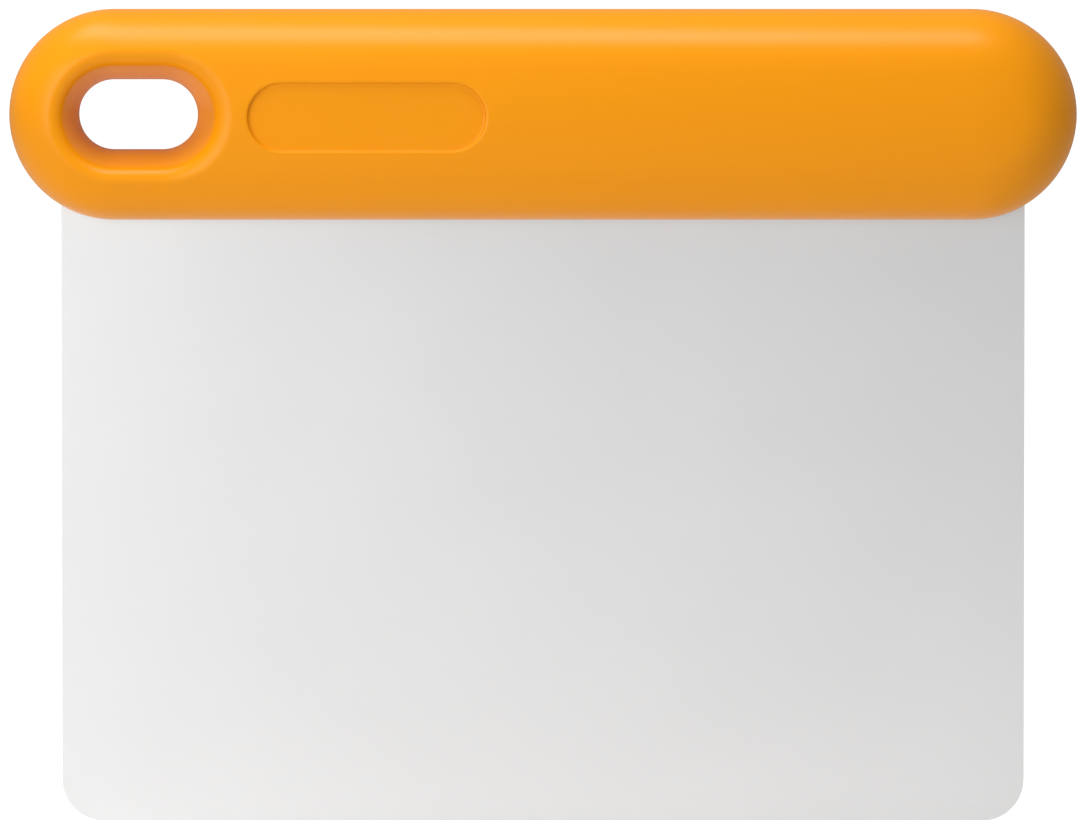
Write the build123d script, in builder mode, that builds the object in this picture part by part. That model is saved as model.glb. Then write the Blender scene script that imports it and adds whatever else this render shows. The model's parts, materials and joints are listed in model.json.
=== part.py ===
from build123d import *
import math
import os

# Bench scraper: a flat steel blade held in a moulded handle with a hanging slot.
# Millimetres. +Z is up: the handle is on top and the blade's working edge lies on Z = 0.
# +X runs along the handle, away from the slot, and the recessed panel faces -Y.
# The origin is the middle of the working edge.

# Handle
overall_height = 122.0
handle_overhang = 7.8
handle_height = 31.6
handle_depth = 20.0
crown_radius = 49.0
skin_thickness = 3.0

# Blade and its tang
blade_width = 144.4
blade_thickness = 1.0
blade_corner_radius = 6.3
shoulder_depth = 5.0
shoulder_corner_radius = 1.5
tang_depth = 18.0
tang_end_gap = 9.0
tang_corner_radius = 3.0
tang_clearance = 0.2
anchor_count = 5
anchor_end_gap = 12.0
anchor_clearance = 0.5

# Hanging slot, flared towards both faces of the handle
slot_length = 17.8
slot_height = 10.6
slot_land = 3.0
slot_flare = 3.3
slot_rim_radius = 2.0

# Recessed panel on the front
panel_length = 35.9
panel_height = 10.5
panel_depth = 0.7
panel_gap_from_slot = 7.4

# Inner core
core_gap_from_slot = 4.5
core_wall = 2.5
core_rib = 7.0
core_rail = 5.0
core_pocket_corner_radius = 1.5
peg_diameter = 4.0
peg_clearance = 0.1
peg_tip_gap = 0.3

# Places along the handle and up from the working edge
handle_length = blade_width + 2 * handle_overhang
handle_underside = overall_height - handle_height
handle_middle = overall_height - handle_height / 2
end_reach = handle_length / 2 - handle_height / 2
slot_middle = slot_length / 2 - slot_height / 2 - end_reach
slot_inner_end = slot_middle + slot_length / 2
panel_middle = slot_inner_end + panel_gap_from_slot + panel_length / 2

core_start = slot_inner_end + core_gap_from_slot
core_end = handle_length / 2 - skin_thickness
core_middle = (core_start + core_end) / 2
core_underside = handle_underside + skin_thickness
core_top = overall_height - skin_thickness
socket_depth = handle_depth / 2 - skin_thickness - core_wall

shoulder_top = handle_underside + shoulder_depth
tang_top = handle_underside + tang_depth
tang_length = core_end - core_start - 2 * tang_end_gap
anchor_height = (core_underside + tang_top) / 2
anchor_pitch = (tang_length - 2 * anchor_end_gap) / (anchor_count - 1)


def handle_form(inset):
    """The handle's rounded bar, with every surface moved inwards by inset."""
    half_height = handle_height / 2 - inset
    half_depth = handle_depth / 2 - inset
    crown = crown_radius - inset
    crown_drop = crown - half_depth
    edge = (crown**2 - half_height**2 - crown_drop**2) / (2 * (crown - half_height))
    edge_offset = half_height - edge
    crown_angle = math.degrees(math.asin(edge_offset / (crown - edge)))
    left_end = Plane(origin=(-end_reach, 0, handle_middle), x_dir=(0, 1, 0), z_dir=(1, 0, 0))
    right_end = left_end.offset(2 * end_reach)

    # Tangent arcs: a shallow crown on each broad face and a tight arc along each long edge
    with BuildPart() as form:
        with BuildSketch(left_end):
            with BuildLine():
                CenterArc((-crown_drop, 0), crown, -crown_angle, 2 * crown_angle)
                CenterArc((0, edge_offset), edge, crown_angle, 180 - 2 * crown_angle)
                CenterArc((crown_drop, 0), crown, 180 - crown_angle, 2 * crown_angle)
                CenterArc((0, -edge_offset), edge, 180 + crown_angle, 180 - 2 * crown_angle)
            make_face()
        extrude(amount=2 * end_reach)

        # Each end is the upper half of the same section, turned half a circle
        for plane, turn in ((right_end, 180), (left_end, -180)):
            with BuildSketch(plane):
                with BuildLine():
                    CenterArc((-crown_drop, 0), crown, 0, crown_angle)
                    CenterArc((0, edge_offset), edge, crown_angle, 180 - 2 * crown_angle)
                    CenterArc((crown_drop, 0), crown, 180 - crown_angle, crown_angle)
                    Line((-half_depth, 0), (half_depth, 0))
                make_face()
            revolve(axis=Axis(plane.origin, (0, 1, 0)), revolution_arc=turn)
    return form.part


# The blade's flat outline: full width up to its shoulders, then the narrower tang
with BuildSketch(Plane.XZ) as blade_outline:
    Rectangle(blade_width, shoulder_top, align=(Align.CENTER, Align.MIN))
    fillet(vertices().group_by(Axis.Y)[0], blade_corner_radius)
    fillet(vertices().group_by(Axis.Y)[-1], shoulder_corner_radius)
    with Locations((core_middle, handle_underside)):
        Rectangle(tang_length, tang_depth, align=(Align.CENTER, Align.MIN))
    fillet(vertices().group_by(Axis.Y)[-1], tang_corner_radius)

with BuildPart() as blade:
    extrude(blade_outline.sketch, amount=blade_thickness / 2, both=True)
    with BuildSketch(Plane.XZ):
        with Locations((core_middle, anchor_height)):
            with GridLocations(anchor_pitch, 0, anchor_count, 1):
                Circle(peg_diameter / 2 + anchor_clearance)
    extrude(amount=blade_thickness, both=True, mode=Mode.SUBTRACT)
blade.part.label = "blade"


# The space that the two core halves fill inside the handle, clear of the hanging slot
with BuildPart() as core_space:
    add(handle_form(skin_thickness))
    split(bisect_by=Plane.YZ.offset(core_start), keep=Keep.TOP)

# What the halves leave free between them for the blade
with BuildSketch(Plane.XZ) as blade_recess:
    add(blade_outline.sketch)
    offset(amount=tang_clearance)

# Pockets between the pegs keep the core's walls even
with BuildSketch(Plane.XZ) as pockets:
    with Locations((core_middle, handle_middle)):
        with GridLocations(anchor_pitch, 0, anchor_count - 1, 1):
            RectangleRounded(
                anchor_pitch - core_rib,
                core_top - core_underside - 2 * core_rail,
                core_pocket_corner_radius,
            )

with BuildPart() as core_front:
    add(core_space.part)
    split(bisect_by=Plane.XZ, keep=Keep.TOP)
    extrude(blade_recess.sketch, amount=blade_thickness / 2, mode=Mode.SUBTRACT)
    extrude(pockets.sketch, amount=socket_depth, mode=Mode.SUBTRACT)
    # The pegs stand on the ribs and go through the tang into the rear half
    with BuildSketch(Plane.XZ.offset(blade_thickness)):
        with Locations((core_middle, anchor_height)):
            with GridLocations(anchor_pitch, 0, anchor_count, 1):
                Circle(peg_diameter / 2)
    extrude(amount=-(blade_thickness + socket_depth - peg_tip_gap))
core_front.part.label = "core_front"

with BuildPart() as core_rear:
    add(core_space.part)
    split(bisect_by=Plane.XZ, keep=Keep.BOTTOM)
    extrude(blade_recess.sketch, amount=-blade_thickness / 2, mode=Mode.SUBTRACT)
    extrude(pockets.sketch, amount=-socket_depth, mode=Mode.SUBTRACT)
    with BuildSketch(Plane.XZ):
        with Locations((core_middle, anchor_height)):
            with GridLocations(anchor_pitch, 0, anchor_count, 1):
                Circle(peg_diameter / 2 + peg_clearance)
    extrude(amount=-socket_depth, mode=Mode.SUBTRACT)
core_rear.part.label = "core_rear"


with BuildPart() as grip:
    add(handle_form(0))

    # The slot: a straight throat, then a flare out through each face
    with BuildSketch(Plane.XZ):
        with Locations((slot_middle, handle_middle)):
            SlotOverall(slot_length, slot_height)
    extrude(amount=handle_depth, both=True, mode=Mode.SUBTRACT)
    flare_depth = handle_depth / 2 - slot_land / 2
    flare_angle = math.degrees(math.atan(slot_flare / flare_depth))
    for side in (1, -1):
        with BuildSketch(Plane.XZ.offset(side * slot_land / 2)):
            with Locations((slot_middle, handle_middle)):
                SlotOverall(slot_length, slot_height)
        extrude(amount=side * handle_depth / 2, taper=-flare_angle, mode=Mode.SUBTRACT)
        rim = grip.edges(Select.LAST).filter_by(lambda edge: abs(edge.center().Y) > handle_depth / 3)
        fillet(rim, slot_rim_radius)

    with BuildSketch(Plane.XZ.offset(handle_depth / 2 - panel_depth)):
        with Locations((panel_middle, handle_middle)):
            SlotOverall(panel_length, panel_height)
    extrude(amount=2 * panel_depth, mode=Mode.SUBTRACT)

    # The core and the blade fill the inside
    add(core_space.part, mode=Mode.SUBTRACT)
    add(blade.part, mode=Mode.SUBTRACT)
grip.part.label = "grip"


os.makedirs("parts", exist_ok=True)
for piece in (blade, core_front, core_rear, grip):
    export_step(piece.part, f"parts/{piece.part.label}.step")
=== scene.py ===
import json
import math

import bmesh
import bpy
import numpy as np
from bpy.props import FloatProperty, FloatVectorProperty, IntProperty, PointerProperty
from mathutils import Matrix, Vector
from mathutils.geometry import delaunay_2d_cdt


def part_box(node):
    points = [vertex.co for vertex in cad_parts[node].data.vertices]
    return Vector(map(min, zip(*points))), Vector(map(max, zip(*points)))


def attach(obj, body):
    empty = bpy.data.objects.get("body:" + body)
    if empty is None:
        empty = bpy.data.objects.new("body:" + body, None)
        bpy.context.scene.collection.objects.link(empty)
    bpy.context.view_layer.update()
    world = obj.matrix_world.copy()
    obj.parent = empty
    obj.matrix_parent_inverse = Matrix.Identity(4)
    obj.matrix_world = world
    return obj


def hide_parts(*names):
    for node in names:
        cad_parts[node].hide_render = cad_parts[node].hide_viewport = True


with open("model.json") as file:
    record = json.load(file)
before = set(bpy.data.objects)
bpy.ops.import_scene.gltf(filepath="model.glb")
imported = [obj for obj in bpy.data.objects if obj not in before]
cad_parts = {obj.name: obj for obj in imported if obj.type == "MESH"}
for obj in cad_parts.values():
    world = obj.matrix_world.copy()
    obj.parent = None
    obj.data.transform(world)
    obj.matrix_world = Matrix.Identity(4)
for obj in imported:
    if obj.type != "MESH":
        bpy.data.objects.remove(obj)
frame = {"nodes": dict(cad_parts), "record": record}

bl_info = {
    "name": "Bench scraper",
    "version": (1, 0, 0),
    "blender": (4, 5, 0),
    "location": "3D View > Sidebar > Bench Scraper",
    "description": "Makes the finished surfaces of a bench scraper around its packed frame",
    "category": "Object",
}

# The frame's own sizes, in metres. Every piece is made in the frame's place and left at the origin.
BODY = "root"
GRIP_LOW, GRIP_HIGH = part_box("grip")
BLADE_LOW, BLADE_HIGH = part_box("blade")
CORE_LOW, CORE_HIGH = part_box("core_front")
MOUNTS = {mount["name"]: Vector(mount["pos_m"]) for mount in frame["record"]["mounts"]}
SLOT_MIDDLE = MOUNTS["hanging_slot"]
HALF_LENGTH = max(GRIP_HIGH.x, -GRIP_LOW.x)
HALF_DEPTH = GRIP_HIGH.y
HALF_HEIGHT = GRIP_HIGH.z - SLOT_MIDDLE.z
END_REACH = HALF_LENGTH - HALF_HEIGHT
SKIN = GRIP_HIGH.z - CORE_HIGH.z


# ---------------------------------------------------------------- settings


def length(name, description, default, smallest=0.0):
    return FloatProperty(
        name=name, description=description, default=default, min=smallest,
        unit="LENGTH", subtype="DISTANCE", precision=5,
    )


def colour(name, description, default):
    return FloatVectorProperty(
        name=name, description=description, default=default, size=3, min=0.0, max=1.0, subtype="COLOR",
    )


def share(name, description, default, largest=1.0):
    return FloatProperty(
        name=name, description=description, default=default, min=0.0, max=largest, subtype="FACTOR",
    )


class HandleSettings(bpy.types.PropertyGroup):
    """Sizes and finish of the moulded handle"""

    crown_radius: length("Crown radius", "Radius of the shallow crown on each broad face", 0.049)
    slot_length: length("Slot length", "Length of the hanging slot's throat", 0.0178)
    slot_height: length("Slot height", "Height of the hanging slot's throat", 0.0106)
    slot_land: length("Slot land", "Straight depth of the throat between its flares", 0.003)
    slot_flare: length("Slot flare", "How far the slot opens out towards each face", 0.0033)
    rim_radius: length("Rim radius", "Rounding of the rim where a flare meets the face", 0.002)
    panel_length: length("Panel length", "Length of the recessed panel on the front", 0.0359)
    panel_height: length("Panel height", "Height of the recessed panel", 0.0105)
    panel_depth: length("Panel depth", "Depth of the panel's floor below the crown", 0.0007)
    panel_gap: length("Panel gap", "Space between the slot's throat and the panel", 0.0074)
    panel_wall: length("Panel wall", "Width of the panel's soft-edged wall", 0.0003)
    mesh_step: length("Mesh step", "Spacing of the points along the handle", 0.001)
    plastic: colour("Plastic", "Colour of the moulded handle", (0.86, 0.3, 0.001))
    roughness: share("Roughness", "Roughness of the moulded handle", 0.33)
    grain_size: length("Grain size", "Size of the mould's fine grain", 0.00035)


class BladeSettings(bpy.types.PropertyGroup):
    """Sizes and finish of the steel sheet"""

    corner_radius: length("Corner radius", "Radius of the blade's lower corners", 0.0063)
    shoulder_height: length("Shoulder height", "Height of the blade's full-width part", 0.0954)
    shoulder_radius: length("Shoulder radius", "Radius of the blade's hidden upper corners", 0.0015)
    tang_gap: length("Tang gap", "Space between the tang's ends and the ends of the core", 0.009)
    tang_radius: length("Tang radius", "Radius of the tang's corners", 0.003)
    anchor_count: IntProperty(name="Anchor holes", description="Holes along the tang", default=5, min=1)
    anchor_radius: length("Anchor radius", "Radius of an anchor hole", 0.0025)
    anchor_margin: length("Anchor margin", "Space from a tang end to the first hole's middle", 0.012)
    edge_break: length("Edge break", "Width of the broken edge all round the sheet", 0.00008)
    steel: colour("Steel", "Colour of the satin stainless sheet", (0.93, 0.93, 0.93))
    roughness: share("Roughness", "Roughness of the satin sheet", 0.38)


class StageSettings(bpy.types.PropertyGroup):
    """The floor, the light and the camera"""

    floor_radius: length("Floor radius", "Radius of the pale floor", 12.0)
    camera_distance: length("Camera distance", "From the camera to the middle of the object", 3.0)
    camera_height: FloatProperty(
        name="Camera elevation", description="How far the camera looks down", unit="ROTATION",
        default=math.radians(3.7),
    )
    view_width: length("View width", "Width that the camera sees at the object", 0.162)
    world_level: share("World level", "Brightness of the surroundings", 0.38, 4.0)
    top_level: share("Top light", "Power of the softbox above, in watts", 2.3, 1000.0)
    left_level: share("Left light", "Power of the softbox on the left, in watts", 2.9, 1000.0)


# ---------------------------------------------------------------- shader maths


class Shade:
    """A shader socket that can be used in Python expressions."""

    def __init__(self, tree, socket):
        self.tree = tree
        self.socket = socket

    def _math(self, operation, first, second):
        node = self.tree.nodes.new("ShaderNodeMath")
        node.operation = operation
        for place, value in enumerate((first, second)):
            if isinstance(value, Shade):
                self.tree.links.new(value.socket, node.inputs[place])
            else:
                node.inputs[place].default_value = value
        return Shade(self.tree, node.outputs[0])

    def __add__(self, other):
        return self._math("ADD", self, other)

    def __radd__(self, other):
        return self._math("ADD", other, self)

    def __mul__(self, other):
        return self._math("MULTIPLY", self, other)

    def __rmul__(self, other):
        return self._math("MULTIPLY", other, self)


class Material:
    """A node material with one method that adds any node."""

    def __init__(self, name):
        self.material = bpy.data.materials.get(name) or bpy.data.materials.new(name)
        self.material.use_nodes = True
        self.tree = self.material.node_tree
        self.tree.nodes.clear()

    def add(self, kind, settings=None, inputs=None, output=0):
        """Adds a node: settings first, then the values or links of its sockets."""
        node = self.tree.nodes.new("ShaderNode" + kind)
        for key, value in (settings or {}).items():
            setattr(node, key, value)
        for key, value in (inputs or {}).items():
            if isinstance(value, Shade):
                self.tree.links.new(value.socket, node.inputs[key])
            else:
                node.inputs[key].default_value = value
        return Shade(self.tree, node.outputs[output])

    def place(self, scale=(1.0, 1.0, 1.0)):
        """Object coordinates, scaled."""
        coordinates = self.add("TexCoord", output=3)
        return self.add("Mapping", inputs={"Vector": coordinates, "Scale": scale})

    def noise(self, place, scale, detail=2.0, roughness=0.5):
        return self.add(
            "TexNoise",
            inputs={"Vector": place, "Scale": scale, "Detail": detail, "Roughness": roughness},
        )

    def between(self, factor, low, high):
        """A value that runs from low to high as factor runs from 0 to 1."""
        return self.add(
            "MapRange", inputs={"Value": factor, "To Min": low, "To Max": high},
        )

    def tint(self, factor, first, second):
        """A colour mixed from two colours."""
        return self.add(
            "Mix", {"data_type": "RGBA"},
            {"Factor": factor, 6: (*first, 1.0), 7: (*second, 1.0)}, output=2,
        )

    def finish(self, surface):
        out = self.tree.nodes.new("ShaderNodeOutputMaterial")
        self.tree.links.new(surface.socket, out.inputs["Surface"])
        return self.material


# How much lighter or darker a tint gets, and how much rougher or smoother, over a surface
TINT_LOW = 0.97
TINT_HIGH = 1.02
ROUGHNESS_SWING = 0.05


def scaled(tint, level):
    return tuple(min(1.0, channel * level) for channel in tint)


def moulded_plastic(handle):
    """Satin orange plastic with the mould's fine grain."""
    made = Material("moulded_orange")
    place = made.place()
    tone = made.noise(place, 18.0, 3.0)
    grain = made.noise(place, 1.0 / handle.grain_size, 2.0, 0.6)
    swirl = made.noise(place, 60.0, 2.0)
    base = made.tint(tone, scaled(handle.plastic, TINT_LOW), scaled(handle.plastic, TINT_HIGH))
    smoothest = handle.roughness - ROUGHNESS_SWING
    roughest = handle.roughness + ROUGHNESS_SWING
    rough = made.between(swirl * 0.6 + grain * 0.4, smoothest, roughest)
    bump = made.add("Bump", inputs={"Strength": 0.12, "Distance": 0.00004, "Height": grain})
    return made.finish(made.add("BsdfPrincipled", inputs={
        "Base Color": base,
        "Roughness": rough,
        "Normal": bump,
        "Specular IOR Level": 0.2,
    }))


# The rolling grain is drawn out along the sheet's width
ROLLING_SCALE = (60.0, 60.0, 9000.0)
CLOUD_SCALE = (14.0, 14.0, 14.0)


def satin_steel(blade):
    """Rolled stainless sheet with a faint grain along its length."""
    made = Material("satin_stainless")
    grain = made.noise(made.place(ROLLING_SCALE), 1.0, 3.0, 0.6)
    cloud = made.noise(made.place(CLOUD_SCALE), 1.0, 3.0, 0.55)
    base = made.tint(cloud, scaled(blade.steel, TINT_LOW), scaled(blade.steel, TINT_HIGH))
    smoothest = blade.roughness - ROUGHNESS_SWING
    roughest = blade.roughness + ROUGHNESS_SWING
    rough = made.between(cloud * 0.6 + grain * 0.4, smoothest, roughest)
    bump = made.add("Bump", inputs={"Strength": 0.05, "Distance": 0.00001, "Height": grain})
    return made.finish(made.add("BsdfPrincipled", inputs={
        "Base Color": base,
        "Metallic": 1.0,
        "Roughness": rough,
        "Normal": bump,
    }))


NYLON_DARK = (0.028, 0.028, 0.03)
NYLON_PALE = (0.075, 0.075, 0.078)
# Glass fibres lie along the handle
FIBRE_SCALE = (2500.0, 600.0, 600.0)


def core_nylon():
    """Dark glass-filled nylon, as moulded."""
    made = Material("core_nylon")
    place = made.place()
    flow = made.noise(place, 40.0, 3.0)
    fibre = made.noise(made.place(FIBRE_SCALE), 1.0, 2.0)
    base = made.tint(flow * 0.5 + fibre * 0.5, NYLON_DARK, NYLON_PALE)
    rough = made.between(fibre, 0.5, 0.68)
    bump = made.add("Bump", inputs={"Strength": 0.2, "Distance": 0.00003, "Height": fibre})
    return made.finish(made.add("BsdfPrincipled", inputs={
        "Base Color": base, "Roughness": rough, "Normal": bump,
    }))


# ---------------------------------------------------------------- mesh helpers


def new_piece(name, mesh):
    piece = bpy.data.objects.new(name, mesh)
    bpy.context.scene.collection.objects.link(piece)
    return piece


def made_plain(piece):
    """Replaces a piece's mesh with its finished one and takes its modifiers off."""
    graph = bpy.context.evaluated_depsgraph_get()
    graph.update()
    mesh = bpy.data.meshes.new_from_object(piece.evaluated_get(graph))
    piece.modifiers.clear()
    old = piece.data
    piece.data = mesh
    if isinstance(old, bpy.types.Mesh):
        bpy.data.meshes.remove(old)
    mesh.name = piece.name
    return piece


# ---------------------------------------------------------------- handle

# Where the extra rings of points lie, out from the throat and from the panel's outline
RIM_START = 0.0014
SLOT_OUT = 0.0056
PANEL_FLOOR_RINGS = (-0.0006, -0.0012, -0.0024, -0.004)
PANEL_CROWN_RINGS = (0.0004, 0.0008)
FLARE_RINGS = 3
RIM_RINGS = 20
WALL_RINGS = 7
# Points along each straight and round each end of a ring
SLOT_STEPS = (10, 36)
PANEL_STEPS = (50, 40)
# Shares of the mesh step: room left around those rings, and how much closer the edge's rings lie
RING_CLEARANCE = 0.45
EDGE_DENSITY = 1.6
# The search for the surface starts just outside it
JUST_OUTSIDE = 1.01
HALVINGS = 40
CORE_STEP = 0.0015
ON_LINE = 1e-7
SMOOTH_BELOW = math.radians(19)


class HandleShape:
    """The handle as signed distances in the frame, negative inside the plastic."""

    def __init__(self, handle, inset=0.0):
        self.handle = handle
        self.half_height = HALF_HEIGHT - inset
        self.half_depth = HALF_DEPTH - inset
        self.crown = handle.crown_radius - inset
        self.crown_drop = self.crown - self.half_depth
        self.edge = (self.crown**2 - self.half_height**2 - self.crown_drop**2) / (
            2 * (self.crown - self.half_height)
        )
        self.edge_offset = self.half_height - self.edge
        self.crown_angle = math.asin(self.edge_offset / (self.crown - self.edge))
        self.slot_radius = handle.slot_height / 2
        self.slot_reach = handle.slot_length / 2 - self.slot_radius
        self.panel_radius = handle.panel_height / 2
        self.panel_reach = handle.panel_length / 2 - self.panel_radius
        self.panel_x = SLOT_MIDDLE.x + (handle.slot_length + handle.panel_length) / 2 + handle.panel_gap

    def from_middle(self, x, z):
        return np.hypot(np.maximum(np.abs(x) - END_REACH, 0), z - SLOT_MIDDLE.z)

    def outside_slot(self, x, z):
        beyond = np.maximum(np.abs(x - SLOT_MIDDLE.x) - self.slot_reach, 0)
        return np.hypot(beyond, z - SLOT_MIDDLE.z) - self.slot_radius

    def outside_panel(self, x, z):
        beyond = np.maximum(np.abs(x - self.panel_x) - self.panel_reach, 0)
        return np.hypot(beyond, z - SLOT_MIDDLE.z) - self.panel_radius

    def bar(self, x, y, z):
        out = self.from_middle(x, z)
        on_crown = np.arctan2(out, y + self.crown_drop) < self.crown_angle
        crown = np.hypot(out, y + self.crown_drop) - self.crown
        edge = np.hypot(out - self.edge_offset, y) - self.edge
        return np.where(on_crown, crown, edge)

    def flare(self, x, y, z):
        land = self.handle.slot_land / 2
        slope = self.handle.slot_flare / (HALF_DEPTH - land)
        return (slope * np.maximum(y - land, 0) - self.outside_slot(x, z)) / math.hypot(1, slope)

    def rounded(self, x, y, z):
        """The bar less the flared slot, with the rim between them rounded."""
        radius = self.handle.rim_radius
        bar = self.bar(x, y, z) + radius
        flare = self.flare(x, y, z) + radius
        outer = np.hypot(np.maximum(bar, 0), np.maximum(flare, 0))
        return outer + np.minimum(np.maximum(bar, flare), 0) - radius

    def depth(self, x, z, surface):
        """How far the surface stands from the middle plane, found by halving."""
        low = np.zeros_like(x)
        high = np.full_like(x, self.half_depth * JUST_OUTSIDE)
        for _ in range(HALVINGS):
            middle = (low + high) / 2
            inside = surface(x, middle, z) < 0
            low = np.where(inside, middle, low)
            high = np.where(inside, high, middle)
        return (low + high) / 2

    def panel_floor(self, x, z, depth):
        """The front's depth with the recessed panel let into it."""
        wall = self.handle.panel_wall
        climb = np.clip((self.outside_panel(x, z) + wall) / wall, 0, 1)
        lift = 0.5 - 0.5 * np.cos(math.pi * climb)
        floor = self.half_depth - self.handle.panel_depth
        return floor + (depth - floor) * lift

    def ring_distances(self, step):
        """Distances from the middle line, close together where the edge turns away."""
        arc = (math.pi / 2 - self.crown_angle) * self.edge
        edge_steps = round(arc / step * EDGE_DENSITY)
        angles = np.linspace(math.pi / 2, self.crown_angle, edge_steps + 1)
        edge = self.edge_offset + self.edge * np.sin(angles)
        crown_steps = round(edge[-1] / step)
        return list(edge) + list(np.linspace(edge[-1], 0, crown_steps + 1)[1:])


def loop(middle_x, reach, radius, line_steps, arc_steps):
    """Points round a stadium outline, anticlockwise in the front view from its lower right."""
    line = np.linspace(-1, 1, line_steps + 1)[:-1] * reach
    turn = np.linspace(-math.pi / 2, math.pi / 2, arc_steps + 1)[:-1]
    x = np.concatenate([
        line, reach + radius * np.cos(turn), -line, -reach - radius * np.cos(turn),
    ])
    z = np.concatenate([
        np.full(line_steps, -radius), radius * np.sin(turn),
        np.full(line_steps, radius), -radius * np.sin(turn),
    ])
    return np.column_stack([middle_x + x, SLOT_MIDDLE.z + z])


class Layout:
    """Rings of points over the handle's outline, joined by triangles."""

    def __init__(self):
        self.points = []
        self.lines = []

    def scatter(self, points):
        self.points.append(points)

    def ring(self, points):
        start = sum(len(group) for group in self.points)
        self.points.append(points)
        count = len(points)
        self.lines += [(start + i, start + (i + 1) % count) for i in range(count)]

    def triangles(self):
        points = [Vector(point) for point in np.concatenate(self.points)]
        made = delaunay_2d_cdt(points, self.lines, [], 0, 1e-8, False)
        return np.array([point[:] for point in made[0]]), [tuple(face) for face in made[2]]


def slot_rings(layout, shape):
    """Rings out from the throat, close together over the rounded rim."""
    flare = np.linspace(0, RIM_START, FLARE_RINGS)
    rim = np.linspace(RIM_START, SLOT_OUT, RIM_RINGS)[1:]
    for outward in [*flare, *rim]:
        radius = shape.slot_radius + outward
        layout.ring(loop(SLOT_MIDDLE.x, shape.slot_reach, radius, *SLOT_STEPS))


def panel_rings(layout, shape):
    """Rings up the panel's soft wall, a few on its floor and two on the crown around it."""
    wall = np.linspace(-shape.handle.panel_wall, 0, WALL_RINGS)
    for outward in [*wall, *PANEL_FLOOR_RINGS, *PANEL_CROWN_RINGS]:
        radius = shape.panel_radius + outward
        layout.ring(loop(shape.panel_x, shape.panel_reach, radius, *PANEL_STEPS))


def handle_layout(shape, step, with_slot):
    """The handle's rings, left out where the slot's and the panel's own rings lie."""
    layout = Layout()
    line_steps = round(2 * END_REACH / step)
    arc_steps = round(math.pi * shape.half_height / step)
    slot_clear = SLOT_OUT + RING_CLEARANCE * step
    panel_clear = PANEL_CROWN_RINGS[-1] + RING_CLEARANCE * step
    for distance in shape.ring_distances(step):
        whole = distance > 0
        if whole:
            points = loop(0.0, END_REACH, distance, line_steps, arc_steps)
        else:
            line = np.linspace(-END_REACH, END_REACH, line_steps + 1)
            points = np.column_stack([line, np.full_like(line, SLOT_MIDDLE.z)])
        if with_slot:
            x, z = points.T
            off_slot = shape.outside_slot(x, z) > slot_clear
            off_panel = shape.outside_panel(x, z) > panel_clear
            keep = off_slot & off_panel
            whole = whole and keep.all()
            points = points[keep]
        if whole:
            layout.ring(points)
        else:
            layout.scatter(points)
    if with_slot:
        slot_rings(layout, shape)
        panel_rings(layout, shape)
    return layout.triangles()


def handle_mesh(name, shape, step, with_slot):
    """A closed mesh from the layout: its front, its rear and the slot's land between them."""
    points, faces = handle_layout(shape, step, with_slot)
    x, z = points.T
    outside = shape.outside_slot(x, z)
    if with_slot:
        faces = [face for face in faces if outside[list(face)].mean() > ON_LINE]
    rear = shape.depth(x, z, shape.rounded if with_slot else shape.bar)
    on_outline = shape.from_middle(x, z) > shape.half_height - ON_LINE
    on_throat = np.abs(outside) < ON_LINE if with_slot else np.zeros(len(x), bool)
    rear[on_outline] = 0.0
    rear[on_throat] = shape.handle.slot_land / 2
    front = shape.panel_floor(x, z, rear) if with_slot else rear
    made = bmesh.new()
    front_side = [made.verts.new((px, -py, pz)) for px, py, pz in zip(x, front, z)]
    rear_side = [
        front_side[i] if on_outline[i] else made.verts.new((x[i], rear[i], z[i])) for i in range(len(x))
    ]
    for face in faces:
        made.faces.new([front_side[i] for i in face])
        made.faces.new([rear_side[i] for i in reversed(face)])
    if with_slot:
        throat = {i for i in range(len(x)) if on_throat[i]}
        ends = {
            (a, b)
            for face in faces
            for a, b in zip(face, face[1:] + face[:1])
            if a in throat and b in throat
        }
        for a, b in ends:
            if (b, a) not in ends:
                made.faces.new([front_side[b], front_side[a], rear_side[a], rear_side[b]])
    bmesh.ops.recalc_face_normals(made, faces=made.faces)
    mesh = bpy.data.meshes.new(name)
    made.to_mesh(mesh)
    made.free()
    return mesh


def cut_away(piece, cutter):
    """Takes one solid out of another."""
    cut = piece.modifiers.new("cut", "BOOLEAN")
    cut.operation = "DIFFERENCE"
    cut.solver = "EXACT"
    cut.object = cutter
    made_plain(piece)


def core_space(handle):
    """The room for the core inside the handle, cut off beside the hanging slot."""
    core = new_piece("core_space", handle_mesh("core_space", HandleShape(handle, SKIN), CORE_STEP, False))
    trimmed = bmesh.new()
    trimmed.from_mesh(core.data)
    geometry = [*trimmed.verts, *trimmed.edges, *trimmed.faces]
    cut = bmesh.ops.bisect_plane(
        trimmed, geom=geometry, plane_co=(CORE_LOW.x, 0, 0), plane_no=(-1, 0, 0), clear_outer=True,
    )
    rim = [item for item in cut["geom_cut"] if isinstance(item, bmesh.types.BMEdge)]
    bmesh.ops.edgenet_fill(trimmed, edges=rim)
    bmesh.ops.recalc_face_normals(trimmed, faces=trimmed.faces)
    trimmed.to_mesh(core.data)
    trimmed.free()
    return core


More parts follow.
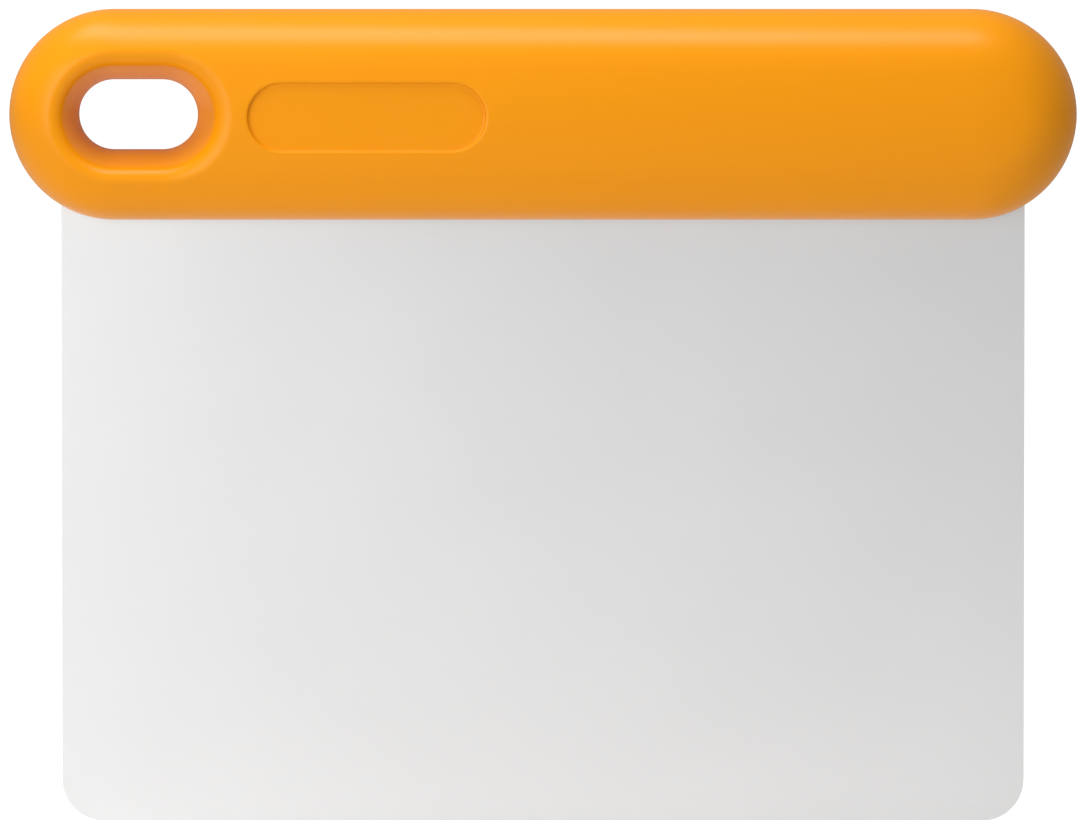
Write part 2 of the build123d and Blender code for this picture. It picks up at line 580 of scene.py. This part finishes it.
class SCRAPER_OT_make_handle(bpy.types.Operator):
    """Makes the moulded handle around the core, with its flared slot and its panel"""

    bl_idname = "scraper.make_handle"
    bl_label = "Make Handle"

    def execute(self, context):
        blade = bpy.data.objects.get("blade_sheet")
        if blade is None:
            raise RuntimeError("make the blade first: the handle closes around it")
        handle = context.scene.scraper_handle
        shape = HandleShape(handle)
        piece = new_piece("moulded_handle", handle_mesh("moulded_handle", shape, handle.mesh_step, True))
        core = core_space(handle)
        cut_away(piece, core)
        bpy.data.objects.remove(core)
        cut_away(piece, blade)
        piece.data.shade_smooth()
        piece.data.set_sharp_from_angle(angle=SMOOTH_BELOW)
        piece.data.materials.clear()
        piece.data.materials.append(moulded_plastic(handle))
        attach(piece, BODY)
        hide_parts("grip")
        return {"FINISHED"}


# ---------------------------------------------------------------- blade

CORNER_POINTS = 16
HOLE_POINTS = 48
BEVEL_SEGMENTS = 2
BEVEL_ABOVE = math.radians(40)


class Tree:
    """A Geometry Nodes tree with named inputs."""

    def __init__(self, name, inputs):
        self.tree = bpy.data.node_groups.new(name, "GeometryNodeTree")
        self.tree.interface.new_socket("Geometry", in_out="INPUT", socket_type="NodeSocketGeometry")
        self.keys = {}
        for label, kind in inputs.items():
            socket = self.tree.interface.new_socket(label, in_out="INPUT", socket_type="NodeSocket" + kind)
            self.keys[label] = socket.identifier
        self.tree.interface.new_socket("Geometry", in_out="OUTPUT", socket_type="NodeSocketGeometry")
        self.group_in = self.tree.nodes.new("NodeGroupInput")
        self.group_out = self.tree.nodes.new("NodeGroupOutput")

    def input(self, label):
        return self.group_in.outputs[label]

    def add(self, kind, settings=None, inputs=None):
        node = self.tree.nodes.new(kind)
        for key, value in (settings or {}).items():
            setattr(node, key, value)
        for key, value in (inputs or {}).items():
            for one in value if isinstance(value, list) else [value]:
                if isinstance(one, bpy.types.NodeSocket):
                    self.tree.links.new(one, node.inputs[key])
                elif isinstance(one, bpy.types.Node):
                    self.tree.links.new(one.outputs[0], node.inputs[key])
                else:
                    node.inputs[key].default_value = one
        return node

    def math(self, operation, first, second):
        return self.add("ShaderNodeMath", {"operation": operation}, {0: first, 1: second})

    def vector(self, x=0.0, y=0.0, z=0.0):
        return self.add("ShaderNodeCombineXYZ", inputs={"X": x, "Y": y, "Z": z})

    def result(self, node):
        self.tree.links.new(node.outputs[0], self.group_out.inputs[0])


def blade_tree():
    """The sheet: one outline with rounded corners, a row of holes, and a thickness."""
    tree = Tree("blade_sheet", {
        "Width": "Float", "Shoulder Height": "Float", "Tang Start": "Float", "Tang End": "Float",
        "Tang Top": "Float", "Thickness": "Float", "Corner Radius": "Float", "Shoulder Radius": "Float",
        "Tang Radius": "Float", "Hole Count": "Int", "Hole Radius": "Float", "Hole Margin": "Float",
        "Hole Height": "Float", "Material": "Material",
    })
    half = tree.math("MULTIPLY", tree.input("Width"), 0.5)
    minus_half = tree.math("MULTIPLY", tree.input("Width"), -0.5)
    shoulder = tree.input("Shoulder Height")
    corners = [
        (minus_half, 0.0), (half, 0.0), (half, shoulder), (tree.input("Tang End"), shoulder),
        (tree.input("Tang End"), tree.input("Tang Top")), (tree.input("Tang Start"), tree.input("Tang Top")),
        (tree.input("Tang Start"), shoulder), (minus_half, shoulder),
    ]
    radii = [
        tree.input("Corner Radius"), tree.input("Corner Radius"), tree.input("Shoulder Radius"), 0.0,
        tree.input("Tang Radius"), tree.input("Tang Radius"), 0.0, tree.input("Shoulder Radius"),
    ]
    index = tree.add("GeometryNodeInputIndex")
    place = tree.add("GeometryNodeIndexSwitch", {"data_type": "VECTOR"}, {"Index": index})
    radius = tree.add("GeometryNodeIndexSwitch", {"data_type": "FLOAT"}, {"Index": index})
    for switch in (place, radius):
        while len(switch.index_switch_items) < len(corners):
            switch.index_switch_items.new()
    for number, ((x, y), size) in enumerate(zip(corners, radii)):
        tree.tree.links.new(tree.vector(x, y).outputs[0], place.inputs[str(number)])
        if isinstance(size, float):
            radius.inputs[str(number)].default_value = size
        else:
            tree.tree.links.new(size, radius.inputs[str(number)])
    line = tree.add("GeometryNodeMeshLine", inputs={"Count": len(corners)})
    outline = tree.add("GeometryNodeMeshToCurve", inputs={"Mesh": line})
    outline = tree.add("GeometryNodeSetPosition", inputs={"Geometry": outline, "Position": place})
    outline = tree.add("GeometryNodeSetSplineCyclic", inputs={"Geometry": outline, "Cyclic": True})
    outline = tree.add("GeometryNodeFilletCurve", {"mode": "POLY"}, {
        "Curve": outline, "Count": CORNER_POINTS, "Radius": radius, "Limit Radius": True,
    })
    first = tree.math("ADD", tree.input("Tang Start"), tree.input("Hole Margin"))
    last = tree.math("SUBTRACT", tree.input("Tang End"), tree.input("Hole Margin"))
    row = tree.add("GeometryNodeMeshLine", {"mode": "END_POINTS"}, {
        "Count": tree.input("Hole Count"),
        "Start Location": tree.vector(first, tree.input("Hole Height")),
        "Offset": tree.vector(last, tree.input("Hole Height")),
    })
    circle = tree.add("GeometryNodeCurvePrimitiveCircle", inputs={
        "Resolution": HOLE_POINTS, "Radius": tree.input("Hole Radius"),
    })
    holes = tree.add("GeometryNodeInstanceOnPoints", inputs={"Points": row, "Instance": circle})
    holes = tree.add("GeometryNodeRealizeInstances", inputs={"Geometry": holes})
    outlines = tree.add("GeometryNodeJoinGeometry", inputs={"Geometry": [outline, holes]})
    sheet = tree.add("GeometryNodeFillCurve", inputs={"Curve": outlines})
    half_thick = tree.math("MULTIPLY", tree.input("Thickness"), -0.5)
    sheet = tree.add("GeometryNodeTransform", inputs={
        "Geometry": sheet, "Translation": tree.vector(z=half_thick),
    })
    raised = tree.add("GeometryNodeExtrudeMesh", inputs={
        "Mesh": sheet, "Offset Scale": tree.input("Thickness"), "Individual": False,
    })
    under = tree.add("GeometryNodeFlipFaces", inputs={"Mesh": sheet})
    solid = tree.add("GeometryNodeJoinGeometry", inputs={"Geometry": [raised, under]})
    solid = tree.add("GeometryNodeMergeByDistance", inputs={"Geometry": solid, "Distance": 1e-7})
    upright = tree.add("GeometryNodeTransform", inputs={
        "Geometry": solid, "Rotation": (math.pi / 2, 0.0, 0.0),
    })
    whole = tree.add("GeometryNodeRealizeInstances", inputs={"Geometry": upright})
    tree.result(tree.add("GeometryNodeSetMaterial", inputs={
        "Geometry": whole, "Material": tree.input("Material"),
    }))
    return tree


class SCRAPER_OT_make_blade(bpy.types.Operator):
    """Makes the steel sheet with its rounded corners, its tang and its anchor holes"""

    bl_idname = "scraper.make_blade"
    bl_label = "Make Blade"

    def execute(self, context):
        blade = context.scene.scraper_blade
        tree = blade_tree()
        underside = 2 * SLOT_MIDDLE.z - GRIP_HIGH.z
        values = {
            "Width": BLADE_HIGH.x - BLADE_LOW.x,
            "Shoulder Height": blade.shoulder_height,
            "Tang Start": CORE_LOW.x + blade.tang_gap,
            "Tang End": CORE_HIGH.x - blade.tang_gap,
            "Tang Top": BLADE_HIGH.z,
            "Thickness": BLADE_HIGH.y - BLADE_LOW.y,
            "Corner Radius": blade.corner_radius,
            "Shoulder Radius": blade.shoulder_radius,
            "Tang Radius": blade.tang_radius,
            "Hole Count": blade.anchor_count,
            "Hole Radius": blade.anchor_radius,
            "Hole Margin": blade.anchor_margin,
            "Hole Height": (underside + SKIN + BLADE_HIGH.z) / 2,
            "Material": satin_steel(blade),
        }
        piece = new_piece("blade_sheet", bpy.data.meshes.new("blade_sheet"))
        nodes = piece.modifiers.new("sheet", "NODES")
        nodes.node_group = tree.tree
        for label, value in values.items():
            nodes[tree.keys[label]] = value
        made_plain(piece)
        bevel = piece.modifiers.new("edge_break", "BEVEL")
        bevel.width = blade.edge_break
        bevel.segments = BEVEL_SEGMENTS
        bevel.limit_method = "ANGLE"
        bevel.angle_limit = BEVEL_ABOVE
        bevel.harden_normals = True
        piece.data.shade_smooth()
        made_plain(piece)
        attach(piece, BODY)
        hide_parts("blade")
        return {"FINISHED"}


class SCRAPER_OT_finish_core(bpy.types.Operator):
    """Gives the two core halves inside the handle their dark nylon"""

    bl_idname = "scraper.finish_core"
    bl_label = "Finish Core"

    def execute(self, context):
        nylon = core_nylon()
        for name in ("core_front", "core_rear"):
            half = frame["nodes"][name]
            half.data.materials.clear()
            half.data.materials.append(nylon)
        return {"FINISHED"}


# ---------------------------------------------------------------- stage

FLOOR_GLOW = 0.8
FLOOR_POINTS = 96
SENSOR_WIDTH = 36.0
CLIP_END = 100.0
CAMERA_AIM = Vector((-0.00045, 0.0, 0.0614))
TOP_PLACE = (-0.08, -0.1, 0.6)
TOP_SIZE = (0.5, 0.2)
LEFT_PLACE = (-0.42, -0.55, 0.2)
LEFT_SIZE = (0.5, 0.6)


def pale_floor(level):
    """A floor that glows for the camera only, by level."""
    made = Material("pale_floor")
    grain = made.noise(made.place(), 300.0, 2.0)
    seen = made.add("LightPath", output="Is Camera Ray")
    lit = made.add("BsdfDiffuse", inputs={"Color": made.tint(grain, (0.78,) * 3, (0.8,) * 3)})
    glow = made.add("Emission", inputs={"Color": seen * level, "Strength": 1.0})
    return made.finish(made.add("AddShader", inputs={0: lit, 1: glow}))


def soft_light(name, place, aim, size, power):
    """A rectangular softbox that looks at a point."""
    lamp = bpy.data.lights.new(name, "AREA")
    lamp.shape = "RECTANGLE"
    lamp.size, lamp.size_y = size
    lamp.energy = power
    box = bpy.data.objects.new(name, lamp)
    box.location = place
    box.rotation_euler = (Vector(aim) - Vector(place)).to_track_quat("-Z", "Y").to_euler()
    bpy.context.scene.collection.objects.link(box)


def floor_disc(radius):
    made = bmesh.new()
    bmesh.ops.create_circle(made, cap_ends=True, radius=radius, segments=FLOOR_POINTS)
    mesh = bpy.data.meshes.new("floor")
    made.to_mesh(mesh)
    made.free()
    mesh.materials.append(pale_floor(FLOOR_GLOW))
    return new_piece("floor", mesh)


def studio_world(level):
    """White to the camera, and dimmer as a light."""
    world = bpy.data.worlds.new("studio")
    world.use_nodes = True
    nodes = world.node_tree.nodes
    links = world.node_tree.links
    back = nodes["Background"]
    path = nodes.new("ShaderNodeLightPath")
    mix = nodes.new("ShaderNodeMix")
    mix.data_type = "FLOAT"
    mix.inputs[2].default_value = level
    mix.inputs[3].default_value = 1.0
    links.new(path.outputs["Is Camera Ray"], mix.inputs["Factor"])
    links.new(mix.outputs[0], back.inputs["Strength"])
    back.inputs["Color"].default_value = (1.0, 1.0, 1.0, 1.0)
    return world


def studio_camera(stage):
    """A long lens that looks slightly down at the front."""
    lens = bpy.data.cameras.new("camera")
    lens.sensor_width = SENSOR_WIDTH
    lens.lens = lens.sensor_width * stage.camera_distance / stage.view_width
    lens.clip_end = CLIP_END
    camera = bpy.data.objects.new("camera", lens)
    away = Vector((0.0, -math.cos(stage.camera_height), math.sin(stage.camera_height)))
    camera.location = CAMERA_AIM + away * stage.camera_distance
    camera.rotation_euler = (-away).to_track_quat("-Z", "Y").to_euler()
    bpy.context.scene.collection.objects.link(camera)
    return camera


class SCRAPER_OT_make_stage(bpy.types.Operator):
    """Makes the pale floor, the soft studio light and the camera"""

    bl_idname = "scraper.make_stage"
    bl_label = "Make Stage"

    def execute(self, context):
        stage = context.scene.scraper_stage
        middle = (GRIP_LOW + GRIP_HIGH) / 2

        floor_disc(stage.floor_radius)
        soft_light("top_box", TOP_PLACE, middle, TOP_SIZE, stage.top_level)
        soft_light("left_box", LEFT_PLACE, middle, LEFT_SIZE, stage.left_level)
        context.scene.world = studio_world(stage.world_level)
        context.scene.camera = studio_camera(stage)
        context.scene.view_settings.view_transform = "Standard"
        return {"FINISHED"}


# ---------------------------------------------------------------- panel


class SCRAPER_PT_pieces(bpy.types.Panel):
    """Lists the steps that make the bench scraper"""

    bl_label = "Bench Scraper"
    bl_idname = "SCRAPER_PT_pieces"
    bl_space_type = "VIEW_3D"
    bl_region_type = "UI"
    bl_category = "Bench Scraper"

    def draw(self, context):
        steps = (
            (context.scene.scraper_blade, SCRAPER_OT_make_blade),
            (context.scene.scraper_handle, SCRAPER_OT_make_handle),
            (None, SCRAPER_OT_finish_core),
            (context.scene.scraper_stage, SCRAPER_OT_make_stage),
        )
        for settings, step in steps:
            box = self.layout.box()
            for key in settings.__annotations__ if settings else ():
                box.prop(settings, key)
            box.operator(step.bl_idname)


CLASSES = (
    HandleSettings,
    BladeSettings,
    StageSettings,
    SCRAPER_OT_make_blade,
    SCRAPER_OT_make_handle,
    SCRAPER_OT_finish_core,
    SCRAPER_OT_make_stage,
    SCRAPER_PT_pieces,
)


def register():
    for cls in CLASSES:
        bpy.utils.register_class(cls)
    bpy.types.Scene.scraper_handle = PointerProperty(type=HandleSettings)
    bpy.types.Scene.scraper_blade = PointerProperty(type=BladeSettings)
    bpy.types.Scene.scraper_stage = PointerProperty(type=StageSettings)


def unregister():
    del bpy.types.Scene.scraper_stage
    del bpy.types.Scene.scraper_blade
    del bpy.types.Scene.scraper_handle
    for cls in reversed(CLASSES):
        bpy.utils.unregister_class(cls)


def main():
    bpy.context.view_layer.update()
    register()
    bpy.ops.scraper.make_blade()
    bpy.ops.scraper.make_handle()
    bpy.ops.scraper.finish_core()
    bpy.ops.scraper.make_stage()


if __name__ == "__main__":
    main()
